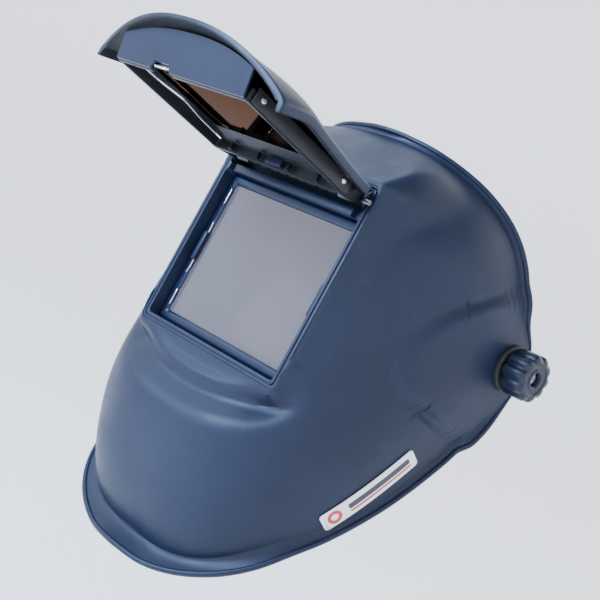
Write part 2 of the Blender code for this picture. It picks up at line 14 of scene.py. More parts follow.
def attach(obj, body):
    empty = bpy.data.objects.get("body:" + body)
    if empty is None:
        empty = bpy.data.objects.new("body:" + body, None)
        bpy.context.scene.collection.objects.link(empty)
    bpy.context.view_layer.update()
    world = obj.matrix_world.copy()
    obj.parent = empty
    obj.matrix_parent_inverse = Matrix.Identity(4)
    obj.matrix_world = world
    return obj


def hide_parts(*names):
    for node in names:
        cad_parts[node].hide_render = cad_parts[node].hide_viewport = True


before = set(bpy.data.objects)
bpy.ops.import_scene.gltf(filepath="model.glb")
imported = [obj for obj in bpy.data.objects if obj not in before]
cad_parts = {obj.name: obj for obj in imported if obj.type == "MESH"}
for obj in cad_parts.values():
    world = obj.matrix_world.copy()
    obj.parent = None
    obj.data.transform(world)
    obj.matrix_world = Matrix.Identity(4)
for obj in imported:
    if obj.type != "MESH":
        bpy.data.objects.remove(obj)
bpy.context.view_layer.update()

MM = 0.001
SHELL_THICK = 2.6
SIDE_HALF = 113.0            # half width of the plain shell at the tilt axis
PANEL_RAISE = 4.0            # the raised side panels stand this far out
PANEL_STEP = 1.8             # half width of the step round them
GROOVE_DEPTH, GROOVE_AT, GROOVE_WIDTH = 1.1, 3.0, 2.2        # shallow groove outside that step
WINDOW_TILT = math.radians(10.0)
WINDOW_CENTRE = (-122.0, -0.8)       # (y, z) of the middle of the window's front plane
OPEN_HALF_X, OPEN_HALF_V = 62.0, 51.7        # the window frame's recess
SHELL_OPEN_X = 66.8          # the hole in the shell that the window frame fills
SHELL_OPEN_V = (-56.0, 73.0)
HINGE_D, HINGE_V = -2.0, 62.0        # flip-front hinge in window space
FOOT_V = -47.4               # outside of the end wall at its foot
WALL_V = -45.4               # foot of the flip front's end wall, above the window's middle
OPEN_ANGLE = math.radians(96.0)      # how far the flip front stands open at rest
AXLE_R = 3.8
KNOB_R = 14.9
SCREW_D = -2.1               # depth of the side rails' screws in the closed flip front
SPRING_R, SPRING_TURNS = 2.9, 8.0
PAD_GRID = 2.2               # voxel size of the foam pads
PUFF_FRAMES, PUFF_LIMIT = 20, 1.2    # the pads' cloth run and how far it may move the cloth
CAMERA_ANGLES = (44.63, 4.63, 21.49)         # azimuth, elevation and roll (deg)
CAMERA_AT = (0.5209, -0.5974, 0.0495)        # metres
CAMERA_LENS = 70.9

# midline profile: angle above straight ahead (deg), radius from the tilt axis, section exponent
PROFILE = [(-110, 210, 3.1), (-85, 214, 3.0), (-70, 218, 2.9), (-53, 218, 2.8), (-40, 191, 3.0),
           (-25, 160, 2.8), (-10, 144, 2.5), (5, 138, 2.4), (20, 133, 2.4), (35, 128, 2.5),
           (50, 122, 2.5), (70, 115, 2.5), (90, 110, 2.6), (115, 107, 2.6), (180, 115, 2.6)]
# the shell's rear and lower edge in side view (y, z), crown to chin, before the rolled lip
RIM = [(-50, 98), (-32, 88), (-18, 72), (-9, 52), (-4, 30), (12, 10), (10, -12), (-9, -44),
       (-32, -72), (-56, -98), (-82, -121), (-106, -139), (-133, -174)]
PANEL = [(60, 70), (-9, 47), (-58, 24), (-82, -6), (-87, -37), (-62, -51), (-12, -56), (60, -80)]
SIDE_CENTRE = (-46.0, -16.0)         # the side point all grid columns start from


# ---- small tools ------------------------------------------------------------------------------
def clamp(value, low=0.0, high=1.0):
    return max(low, min(high, value))


def loft(loops, closed):
    """Quads between successive loops of equal length; capped at both ends unless closed."""
    n = len(loops[0])
    verts = [p for loop in loops for p in loop]
    faces = []
    rows = len(loops)
    for i in range(rows if closed else rows - 1):
        a, b = i * n, ((i + 1) % rows) * n
        for j in range(n):
            k = (j + 1) % n
            faces.append((a + j, a + k, b + k, b + j))
    if not closed:
        faces.append(tuple(range(n)))
        faces.append(tuple(range((rows - 1) * n, rows * n)))
    return verts, faces


def rounded_rect(half_a, half_b, radius, mid_b=0.0, steps=3):
    pts = []
    for sa, sb, start in ((1, 1, 0), (-1, 1, 90), (-1, -1, 180), (1, -1, 270)):
        for i in range(steps + 1):
            t = math.radians(start + 90.0 * i / steps)
            pts.append((sa * (half_a - radius) + radius * math.cos(t),
                        mid_b + sb * (half_b - radius) + radius * math.sin(t)))
    return pts


def circle(radius, count, lobes=0, depth=0.0):
    pts = []
    for i in range(count):
        t = 2 * math.pi * i / count
        r = radius + depth * math.cos(lobes * t)
        pts.append((r * math.cos(t), r * math.sin(t)))
    return pts


# window space -> helmet frame
def from_window(x, d, v):
    c, s = math.cos(WINDOW_TILT), math.sin(WINDOW_TILT)
    return (x, WINDOW_CENTRE[0] + d * c + v * s, WINDOW_CENTRE[1] - d * s + v * c)


def to_window(x, y, z):
    c, s = math.cos(WINDOW_TILT), math.sin(WINDOW_TILT)
    dy, dz = y - WINDOW_CENTRE[0], z - WINDOW_CENTRE[1]
    return (x, dy * c - dz * s, dy * s + dz * c)


def swung(x, d, v, angle=OPEN_ANGLE):
    """Window space point of the closed flip front -> helmet frame with the front swung open."""
    c, s = math.cos(angle), math.sin(angle)
    dd, dv = d - HINGE_D, v - HINGE_V
    return from_window(x, HINGE_D + dd * c + dv * s, HINGE_V - dd * s + dv * c)


def blend_table(table, t, col):
    if t <= table[0][0]:
        return table[0][col]
    for (a, b) in zip(table, table[1:]):
        if t <= b[0]:
            i = table.index(a)
            before = table[max(i - 1, 0)]
            after = table[min(i + 2, len(table) - 1)]
            h = b[0] - a[0]
            u = (t - a[0]) / h
            m0 = (b[col] - before[col]) / (b[0] - before[0]) * h
            m1 = (after[col] - a[col]) / (after[0] - a[0]) * h
            return ((2 * u ** 3 - 3 * u ** 2 + 1) * a[col] + (u ** 3 - 2 * u ** 2 + u) * m0
                    + (3 * u ** 2 - 2 * u ** 3) * b[col] + (u ** 3 - u ** 2) * m1)
    return table[-1][col]


def smoothstep(a, b, x):
    t = max(0.0, min(1.0, (x - a) / (b - a)))
    return t * t * (3 - 2 * t)


def angle_of(y, z):
    t = math.degrees(math.atan2(z, -y))
    return t + 360.0 if t < -130.0 else t


def profile_radius(t):
    return blend_table(PROFILE, t, 1)


def body_x(y, z):
    t = angle_of(y, z)
    n = blend_table(PROFILE, t, 2)
    r = math.hypot(y, z) / profile_radius(t)
    return SIDE_HALF * max(0.0, 1.0 - r ** n) ** (1.0 / n)


def panel_distance(y, z):
    """Distance outside the raised side panel's rounded outline (negative inside)."""
    total = 0.0
    for (ay, az), (by, bz) in zip(PANEL, PANEL[1:]):
        ey, ez = by - ay, bz - az
        dist = ((y - ay) * ez - (z - az) * ey) / math.hypot(ey, ez)
        total += math.exp(max(-60.0, min(60.0, dist / 6.0)))
    return 6.0 * math.log(total)


def smooth_min(a, b, k):
    h = max(0.0, min(1.0, 0.5 + 0.5 * (b - a) / k))
    return b * (1 - h) + a * h - k * h * (1 - h)


def shaped(x, y, z):
    """Add the raised panel, the window boss and the hollow under it to a plain shell point."""
    side = smoothstep(60.0, 90.0, x)
    apart = panel_distance(y, z)
    x += side * (PANEL_RAISE * (1.0 - smoothstep(-PANEL_STEP, PANEL_STEP, apart))
                 - GROOVE_DEPTH * math.exp(-((apart - GROOVE_AT) / GROOVE_WIDTH) ** 2))
    wx, d, v = to_window(x, y, z)
    near = 1.0 - smoothstep(36.0, 62.0, d)
    hollow = math.exp(-((v + 76.0 - 14.0 * (wx / 70.0) ** 2) / 10.0) ** 2)
    d += 10.5 * near * hollow * (1.0 - smoothstep(58.0, 88.0, wx))
    low = -68.0 + 10.0 * (wx / 70.0) ** 2
    aside = max(0.0, wx - 67.0)
    boss = (0.95 * aside + 0.08 * aside ** 2 + 2.2 * max(0.0, low - v)
            + 1.2 * max(0.0, v - 76.0))
    pressed = smooth_min(d, boss, 5.0)
    flat = 1.0 - smoothstep(62.0, 74.0, wx)
    flat *= smoothstep(low - 4.0, low + 4.0, v) * (1.0 - smoothstep(76.0, 92.0, v))
    pressed += flat * (max(pressed, 0.0) - pressed)
    return from_window(wx, d + near * (pressed - d), v)


def along_curve(points, count):
    """Points spaced evenly along a polyline."""
    dist = [0.0]
    for a, b in zip(points, points[1:]):
        dist.append(dist[-1] + (Vector(b) - Vector(a)).length)
    out, j = [], 0
    for i in range(count):
        s = dist[-1] * i / (count - 1)
        while j < len(points) - 2 and dist[j + 1] < s:
            j += 1
        f = (s - dist[j]) / (dist[j + 1] - dist[j])
        out.append(tuple(Vector(points[j]).lerp(Vector(points[j + 1]), min(1.0, max(0.0, f)))))
    return out


def rim_points(count):
    """The body's free edge as (x, y, z) points from the crown round the side to the chin."""
    ends = []
    for y, z in (RIM[0], RIM[-1]):
        t = angle_of(y, z)
        r = profile_radius(t) - 1e-6
        ends.append((-r * math.cos(math.radians(t)), r * math.sin(math.radians(t))))
    table = [ends[0]] + RIM[1:-1] + [ends[1]]
    knots = [(float(i), y, z) for i, (y, z) in enumerate(table)]
    dense = []
    for i in range(600):
        s = (len(table) - 1) * i / 599.0
        y, z = blend_table(knots, s, 1), blend_table(knots, s, 2)
        dense.append((body_x(y, z), y, z))
    return [(y, z) for x, y, z in along_curve(dense, count)]


def column_ends(front_cols, rim_cols):
    """Where the half shell's grid columns end in side view: the midline first, then the rim."""
    t0, t1 = angle_of(*RIM[0]), angle_of(*RIM[-1])
    ends = []
    for i in range(front_cols):
        t = t1 + (t0 - t1) * i / front_cols
        r = profile_radius(t)
        ends.append((-r * math.cos(math.radians(t)), r * math.sin(math.radians(t))))
    return ends, rim_points(rim_cols)[:-1]


def grid_column(ey, ez, rows, crowd):
    """One column from the side centre to its end; crowd packs rows towards a midline end."""
    col = []
    for k in range(rows + 1):
        f = k / rows
        g = f * (1.0 - crowd) + crowd * math.sin(f * math.pi / 2) ** 0.9
        y = SIDE_CENTRE[0] + (ey - SIDE_CENTRE[0]) * g
        z = SIDE_CENTRE[1] + (ez - SIDE_CENTRE[1]) * g
        col.append((body_x(y, z), y, z))
    return col


def lip_frame(verts, before, here, after, inner, end):
    """Directions at a rim point: onward over the edge, and outward from the shell."""
    along = (Vector(verts[after]) - Vector(verts[before])).normalized()
    if end:
        along = Vector((1.0, 0.0, 0.0))
    away = Vector(verts[here]) - Vector(verts[inner])
    away = (away - along * away.dot(along)).normalized()
    normal = along.cross(away).normalized()
    if normal.dot(Vector(verts[here]) - Vector((0.0, -30.0, -40.0))) < 0:
        normal = -normal
    return away, normal


def cover_half_width(v):
    return 85.0 - 18.5 * smoothstep(-50.0, 64.0, v)


def cover_edge(v):
    return 0.8 - 9.4 * smoothstep(-54.0, -16.0, v)


def cover_depth(x, v):
    w = cover_half_width(v)
    crown = 8.5 + 15.8 * smoothstep(8.0, -52.0, v)
    return cover_edge(v) - crown * max(0.0, 1.0 - (abs(x) / w) ** 2.3) ** 0.75


# ---- headgear ---------------------------------------------------------------------------------
HEAD_A, HEAD_B = 78.0, 95.0          # half width and half length of the headband's loop
HEAD_MID = (12.0, 4.0)               # (y, z) of the loop's middle
HEAD_TIP = math.radians(16.0)        # the loop drops towards the back
HEAD_UP = (0.0, math.sin(HEAD_TIP), math.cos(HEAD_TIP))
HEAD_BACK = (0.0, math.cos(HEAD_TIP), -math.sin(HEAD_TIP))


def band_point(t, grow=0.0, rise=0.0):
    """Point on the headband at angle t round from the forehead towards the wearer's left."""
    a = -(HEAD_B + grow) * math.cos(t)
    return ((HEAD_A + grow) * math.sin(t), HEAD_MID[0] + a * HEAD_BACK[1] + rise * HEAD_UP[1],
            HEAD_MID[1] + a * HEAD_BACK[2] + rise * HEAD_UP[2])


def behind(along, a, b):
    """Point on the ratchet's axis frame: along it, across (x) and up."""
    base = band_point(math.pi)
    return (a, base[1] + along * HEAD_BACK[1] + b * HEAD_UP[1],
            base[2] + along * HEAD_BACK[2] + b * HEAD_UP[2])


def crown_path(side, drop, steps=18):
    path = []
    for i in range(steps):
        u = math.radians(7.0 + 91.0 * i / (steps - 1))
        lower = drop * smoothstep(60.0, 80.0, math.degrees(u))
        path.append((side * 73.6 * math.cos(u), 4.0 - 6.0 * math.sin(u),
                     6.0 + (88.0 - lower) * math.sin(u)))
    return path


# ---- materials --------------------------------------------------------------------------------
def shader(name, colour, rough, metallic=0.0, grain=0.0, grain_scale=900.0, mottle=0.12,
           mottle_scale=14.0, coat=0.0, coat_rough=0.2, scuff=0.0, transmission=0.0, ior=1.5,
           gloss=0.5):
    """Moulded or metal surface: colour mottling, roughness variation, fine grain and scuffs."""
    mat = bpy.data.materials.new(name)
    mat.use_nodes = True
    nodes, links = mat.node_tree.nodes, mat.node_tree.links
    bsdf = nodes["Principled BSDF"]
    bsdf.inputs["Metallic"].default_value = metallic
    bsdf.inputs["IOR"].default_value = ior
    bsdf.inputs["Specular IOR Level"].default_value = gloss
    bsdf.inputs["Transmission Weight"].default_value = transmission
    bsdf.inputs["Coat Weight"].default_value = coat
    bsdf.inputs["Coat Roughness"].default_value = coat_rough
    place = nodes.new("ShaderNodeTexCoord").outputs["Object"]

    def noise(scale, detail=3.0, rough_=0.55):
        node = nodes.new("ShaderNodeTexNoise")
        node.inputs["Scale"].default_value = scale
        node.inputs["Detail"].default_value = detail
        node.inputs["Roughness"].default_value = rough_
        links.new(place, node.inputs["Vector"])
        return node.outputs["Fac"]

    def spread(source, low, high, a=0.35, b=0.65):
        node = nodes.new("ShaderNodeMapRange")
        for key, value in (("From Min", a), ("From Max", b), ("To Min", low), ("To Max", high)):
            node.inputs[key].default_value = value
        links.new(source, node.inputs["Value"])
        return node.outputs["Result"]

    def mixed(fac, a, b):
        node = nodes.new("ShaderNodeMix")
        node.data_type = "RGBA"
        for index, value in ((6, a), (7, b)):
            if isinstance(value, tuple):
                node.inputs[index].default_value = (*value, 1.0)
            else:
                links.new(value, node.inputs[index])
        links.new(fac, node.inputs[0])
        return node.outputs[2]

    clouds = noise(mottle_scale)
    dark = tuple(c * (1.0 - mottle) for c in colour)
    light = tuple(min(1.0, c * (1.0 + mottle)) for c in colour)
    tint = mixed(spread(clouds, 0.0, 1.0), dark, light)
    rough_value = spread(noise(mottle_scale * 3.1), rough * 0.9, rough * 1.12)
    if scuff:
        marks = spread(noise(mottle_scale * 9.0, 6.0, 0.75), 0.0, scuff, 0.60, 0.74)
        tint = mixed(marks, tint, tuple(min(1.0, c * 1.7 + 0.03) for c in colour))
    links.new(tint, bsdf.inputs["Base Color"])
    links.new(rough_value, bsdf.inputs["Roughness"])
    if grain:
        bump = nodes.new("ShaderNodeBump")
        bump.inputs["Strength"].default_value = grain
        bump.inputs["Distance"].default_value = 0.0002
        links.new(noise(grain_scale, 2.0), bump.inputs["Height"])
        links.new(bump.outputs["Normal"], bsdf.inputs["Normal"])
    return mat


MATERIALS = {
    "shell": shader("shell_plastic", (0.0110, 0.0165, 0.0375), 0.42, gloss=0.26, grain=0.30,
                    mottle=0.10, scuff=0.25),
    "frame": shader("frame_plastic", (0.0085, 0.0160, 0.0420), 0.33, gloss=0.30, grain=0.20,
                    scuff=0.2),
    "cover": shader("cover_plastic", (0.0110, 0.0170, 0.0390), 0.36, gloss=0.30, grain=0.15,
                    scuff=0.2),
    "box": shader("box_plastic", (0.005, 0.006, 0.009), 0.42, gloss=0.25, grain=0.35, scuff=0.3),
    "bar": shader("bar_plastic", (0.020, 0.020, 0.023), 0.44, gloss=0.30, grain=0.30, scuff=0.2),
    "clear": shader("clear_plastic", (0.165, 0.145, 0.165), 0.045, transmission=0.38,
                    gloss=0.4, mottle=0.04, coat=0.6, coat_rough=0.02, ior=1.49),
    "filter": shader("filter_glass", (0.14, 0.105, 0.092), 0.05, 1.0, mottle=0.05),
    "rubber": shader("black_rubber", (0.012, 0.012, 0.013), 0.70, grain=0.5, scuff=0.3),
    "chrome": shader("bright_chrome", (0.82, 0.83, 0.86), 0.14, 1.0, mottle=0.03),
    "steel": shader("bolt_steel", (0.62, 0.62, 0.64), 0.28, 1.0, grain=0.25, mottle=0.10),
    "pin": shader("dark_steel", (0.16, 0.16, 0.17), 0.35, 1.0, mottle=0.10),
    "knob": shader("knob_plastic", (0.008, 0.012, 0.026), 0.30, gloss=0.35, grain=0.35, scuff=0.35),
    "nylon": shader("strap_nylon", (0.016, 0.016, 0.018), 0.46, grain=0.45, scuff=0.35),
    "foam": shader("foam_cloth", (0.028, 0.028, 0.031), 0.92, grain=1.0, grain_scale=1500.0,
                   mottle=0.25, mottle_scale=60.0),
    "label": shader("label_film", (0.86, 0.86, 0.87), 0.30, mottle=0.03, coat=0.4),
    "stripe": shader("stripe_red", (0.55, 0.035, 0.045), 0.34, mottle=0.06),
    "ink": shader("stripe_dark", (0.030, 0.030, 0.040), 0.36, mottle=0.06),
}
MATERIALS["filter"].node_tree.nodes["Principled BSDF"].inputs[
    "Specular Tint"].default_value = (0.34, 0.29, 0.27, 1.0)
MATERIALS["foam"].node_tree.nodes["Principled BSDF"].inputs["Sheen Weight"].default_value = 0.5


# ---- making pieces ----------------------------------------------------------------------------
def settle(obj, sharp=34.0):
    """Turns the modifiers into plain mesh and shades it smooth up to the sharp angle."""
    view = bpy.context.evaluated_depsgraph_get()
    mesh = bpy.data.meshes.new_from_object(obj.evaluated_get(view))
    obj.modifiers.clear()
    obj.data = mesh
    mesh.polygons.foreach_set("use_smooth", [True] * len(mesh.polygons))
    mesh.set_sharp_from_angle(angle=math.radians(sharp))
    return obj


def piece(name, verts, faces, mat, body, replaces=(), slot=None, bevel=0.0, steps=2, cuts=(),
          sharp=34.0, modify=None, warp=None):
    """One closed piece in millimetres that rides on a CAD body."""
    mesh = bpy.data.meshes.new(name)
    mesh.from_pydata([(x * MM, y * MM, z * MM) for x, y, z in verts], [], faces)
    bm = bmesh.new()
    bm.from_mesh(mesh)
    bmesh.ops.remove_doubles(bm, verts=bm.verts, dist=2e-6)
    bmesh.ops.recalc_face_normals(bm, faces=bm.faces)
    bm.to_mesh(mesh)
    bm.free()
    obj = bpy.data.objects.new(name, mesh)
    bpy.context.scene.collection.objects.link(obj)
    mesh.materials.append(MATERIALS[mat])
    if modify:
        modify(obj)
    for tool in cuts:
        mod = obj.modifiers.new("cut", "BOOLEAN")
        mod.operation, mod.solver, mod.object = "DIFFERENCE", "EXACT", tool
    if bevel:
        mod = obj.modifiers.new("edges", "BEVEL")
        mod.width, mod.segments, mod.limit_method = bevel * MM, steps, "ANGLE"
        mod.angle_limit = math.radians(30.0)
    bpy.context.view_layer.update()
    settle(obj, sharp)
    if warp:
        for vert in obj.data.vertices:
            vert.co = Vector(warp(*(vert.co / MM))) * MM
        bm = bmesh.new()
        bm.from_mesh(obj.data)
        bmesh.ops.recalc_face_normals(bm, faces=bm.faces)
        bm.to_mesh(obj.data)
        bm.free()
    for tool in cuts:
        bpy.data.objects.remove(tool)
    obj.data.materials.clear()
    obj.data.materials.append(MATERIALS[mat])
    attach(obj, body)
    if replaces:
        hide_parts(*replaces)
    return obj


def tool(loops):
    """A cutting solid; it is removed as soon as the piece it cuts is made."""
    verts, faces = loft(loops, False)
    mesh = bpy.data.meshes.new("tool")
    mesh.from_pydata([(x * MM, y * MM, z * MM) for x, y, z in verts], [], faces)
    bm = bmesh.new()
    bm.from_mesh(mesh)
    bmesh.ops.recalc_face_normals(bm, faces=bm.faces)
    bm.to_mesh(mesh)
    bm.free()
    obj = bpy.data.objects.new("tool", mesh)
    bpy.context.scene.collection.objects.link(obj)
    return obj


def ring_piece(name, steps, place, mat, body, **more):
    """Closed ring from rounded rectangles: (half x, half v, corner, mid v, depth) per step."""
    loops = [[place(x, d, v) for x, v in rounded_rect(hx, hv, r, mv, 6)]
             for hx, hv, r, mv, d in steps]
    return piece(name, *loft(loops, True), mat, body, **more)


def box_loops(x0, x1, a0, a1, b0, b1, place):
    return [[place(x, a, b) for a, b in ((a0, b0), (a1, b0), (a1, b1), (a0, b1))]
            for x in (x0, x1)]


def block(name, spans, place, mat, body, **more):
    x0, x1 = sorted(spans[:2])
    return piece(name, *loft(box_loops(x0, x1, *spans[2:], place), False), mat, body, **more)


def rod(name, points, radius, mat, body, sides=12, count=40, **more):
    """Round wire along a smooth path of points."""
    path = [Vector(p) for p in along_curve(points, count)]
    for _ in range(3):
        path = [path[0]] + [(a + b * 2.0 + c) / 4.0 for a, b, c in zip(path, path[1:], path[2:])
                            ] + [path[-1]]
    loops, side = [], None
    for i, p in enumerate(path):
        ahead = (path[min(i + 1, count - 1)] - path[max(i - 1, 0)]).normalized()
        side = ahead.orthogonal() if side is None else side - ahead * side.dot(ahead)
        side.normalize()
        other = ahead.cross(side)
        loops.append([tuple(p + side * a + other * b) for a, b in circle(radius, sides)])
    return piece(name, *loft(loops, False), mat, body, **more)


def turned(name, profile, mat, place, body, count=64, shape=None, **more):
    """Closed piece of revolution; shape(angle, radius) may flute the rim."""
    capped = profile[0][1] == 0.0
    loops = []
    for along, r in (profile[1:-1] if capped else profile):
        loop = []
        for i in range(count):
            t = 2 * math.pi * i / count
            rr = shape(t, r) if shape else r
            loop.append(place(along, rr * math.cos(t), rr * math.sin(t)))
        loops.append(loop)
    return piece(name, *loft(loops, not capped), mat, body, **more)


def fluted(lobes, depth, width, above):
    """Rim with evenly spaced rounded grooves, only where the radius is larger than above."""
    def shape(t, r):
        if r <= above:
            return r
        step = 2 * math.pi / lobes
        off = (t % step) - step / 2.0
        return r - depth * math.exp(-(off * r / width) ** 2)
    return shape


def strap(name, length, width, thick, warp, mat, body, holes=(), corner=3.0, steps=60,
          bevel=0.45, **more):
    """Flat strip with rounded corners, cut and bevelled flat, then bent by warp(along, up, out)."""
    outline = rounded_rect(length / 2.0, width / 2.0, corner, 0.0, 5)
    tools = []
    for u, w, ru, rw in holes:
        hole = rounded_rect(ru, rw, min(ru, rw) * 0.98, 0.0, 4)
        tools.append(tool([[(u + a, w + b, z) for a, b in hole] for z in (-thick, thick)]))

    def refine(obj):
        bm = bmesh.new()
        bm.from_mesh(obj.data)
        for i in range(1, steps):
            u = (-length / 2.0 + length * i / steps) * MM
            bmesh.ops.bisect_plane(bm, geom=bm.verts[:] + bm.edges[:] + bm.faces[:],
                                   plane_co=(u, 0, 0), plane_no=(1, 0, 0))
        bm.to_mesh(obj.data)
        bm.free()
    loops = [[(a, b, z) for a, b in outline] for z in (-thick / 2.0, thick / 2.0)]
    return piece(name, *loft(loops, False), mat, body, cuts=tools, bevel=bevel, modify=refine,
                 warp=warp, **more)


# ---- shell ------------------------------------------------------------------------------------
def seat_step(x, v):
    """The shallow seat beside the window that the closed cover rests in."""
    rise = smoothstep(-38.6, -35.8, v) * (1.0 - smoothstep(20.0, 60.0, v))
    return 1.5 * rise * (1.0 - smoothstep(70.0, 88.0, x)) * smoothstep(60.0, 66.0, x)


def build_shell(front_cols=130, rim_cols=84, rows=58, lip_rows=6):
    front, rim = column_ends(front_cols, rim_cols)
    verts, faces = [], []
    n, width = len(front) + len(rim), rows + 1
    for c, (ey, ez) in enumerate(front + rim):
        past = c - front_cols
        crowd = 1.0 if past <= 0 else max(0.0, 1.0 - 0.07 * min(past, n - c))
        points = []
        for p in grid_column(ey, ez, rows, crowd):
            x, d, v = to_window(*shaped(*p))
            points.append(from_window(x, d + seat_step(x, v) * (d < 12.0), v))
        if past <= 0:
            points[-1] = (0.0, points[-1][1], points[-1][2])
        verts += points
    for c in range(n):
        a, b = c * width, ((c + 1) % n) * width
        for k in range(rows):
            faces.append((a + k, b + k, b + k + 1, a + k + 1))
    order = [c * width + rows for c in list(range(front_cols, n)) + [0]]
    last, lip, edge = len(order) - 1, [], []
    frames = [lip_frame(verts, order[max(k - 1, 0)], here, order[min(k + 1, last)], here - 3,
                        k in (0, last)) for k, here in enumerate(order)]
    for _ in range(8):
        frames = [frames[0]] + [tuple((a[i] + b[i] * 2.0 + c[i]).normalized() for i in (0, 1))
                                for a, b, c in zip(frames, frames[1:], frames[2:])] + [frames[-1]]
    for k, here in enumerate(order):
        away, normal = frames[k]
        x, y, z = verts[here]
        chin = smoothstep(-60.0, -150.0, z) * smoothstep(112.0, 80.0, x)
        by_axle = smoothstep(16.0, 40.0, math.hypot(y, z))
        middle = smoothstep(66.0, 0.0, x)
        reach, flare = 4.0 + (3.5 + 6.0 * middle) * chin, 3.0 * by_axle + 4.0 * chin
        row = [here]
        for j in range(1, lip_rows + 1):
            f = j / lip_rows
            p = Vector(verts[here]) + away * (reach * f) + normal * (flare * f ** 1.7)
            row.append(len(verts))
            verts.append((0.0 if k in (0, last) else p.x, p.y, p.z))
        lip.append(row)
        edge.append(tuple(Vector(verts[-1]) - normal * 1.1))
    for a, b in zip(lip, lip[1:]):
        for j in range(lip_rows):
            faces.append((a[j], b[j], b[j + 1], a[j + 1]))
    half = len(verts)
    verts += [(-x, y, z) for x, y, z in verts]
    faces += [tuple(half + i for i in reversed(f)) for f in faces]

    def thicken(obj):
        bm = bmesh.new()
        bm.from_mesh(obj.data)
        bmesh.ops.remove_doubles(bm, verts=bm.verts, dist=2e-5)
        for _ in range(2):
            bmesh.ops.smooth_vert(bm, verts=[v for v in bm.verts if not v.is_boundary],
                                  factor=0.3, use_axis_x=True, use_axis_y=True, use_axis_z=True)
        bmesh.ops.recalc_face_normals(bm, faces=bm.faces)
        widest = max(bm.faces, key=lambda f: f.calc_center_median().x)
        if widest.normal.x < 0:
            bmesh.ops.reverse_faces(bm, faces=bm.faces)
        bm.to_mesh(obj.data)
        bm.free()
        mod = obj.modifiers.new("thickness", "SOLIDIFY")
        mod.thickness, mod.offset = SHELL_THICK * MM, -1.0

    mid, half_v = sum(SHELL_OPEN_V) / 2, (SHELL_OPEN_V[1] - SHELL_OPEN_V[0]) / 2
    outline = rounded_rect(SHELL_OPEN_X, half_v, 4.0, mid, 6)
    holes = [tool([[from_window(x, d, v) for x, v in outline] for d in (-60.0, 45.0)])]
    for side in (1, -1):
        holes.append(tool([[(side * x, a, b) for a, b in circle(AXLE_R + 0.7, 32)]
                           for x in (95.0, 130.0)]))
    piece("shell_skin", verts, faces, "shell", "shell_body", replaces=["shell"], cuts=holes,
          modify=thicken, sharp=40.0)
    loop = edge + [(-x, y, z) for x, y, z in reversed(edge[:-1])]
    rod("shell_edge_bead", loop, 1.75, "shell", "shell_body", sides=12, count=420)


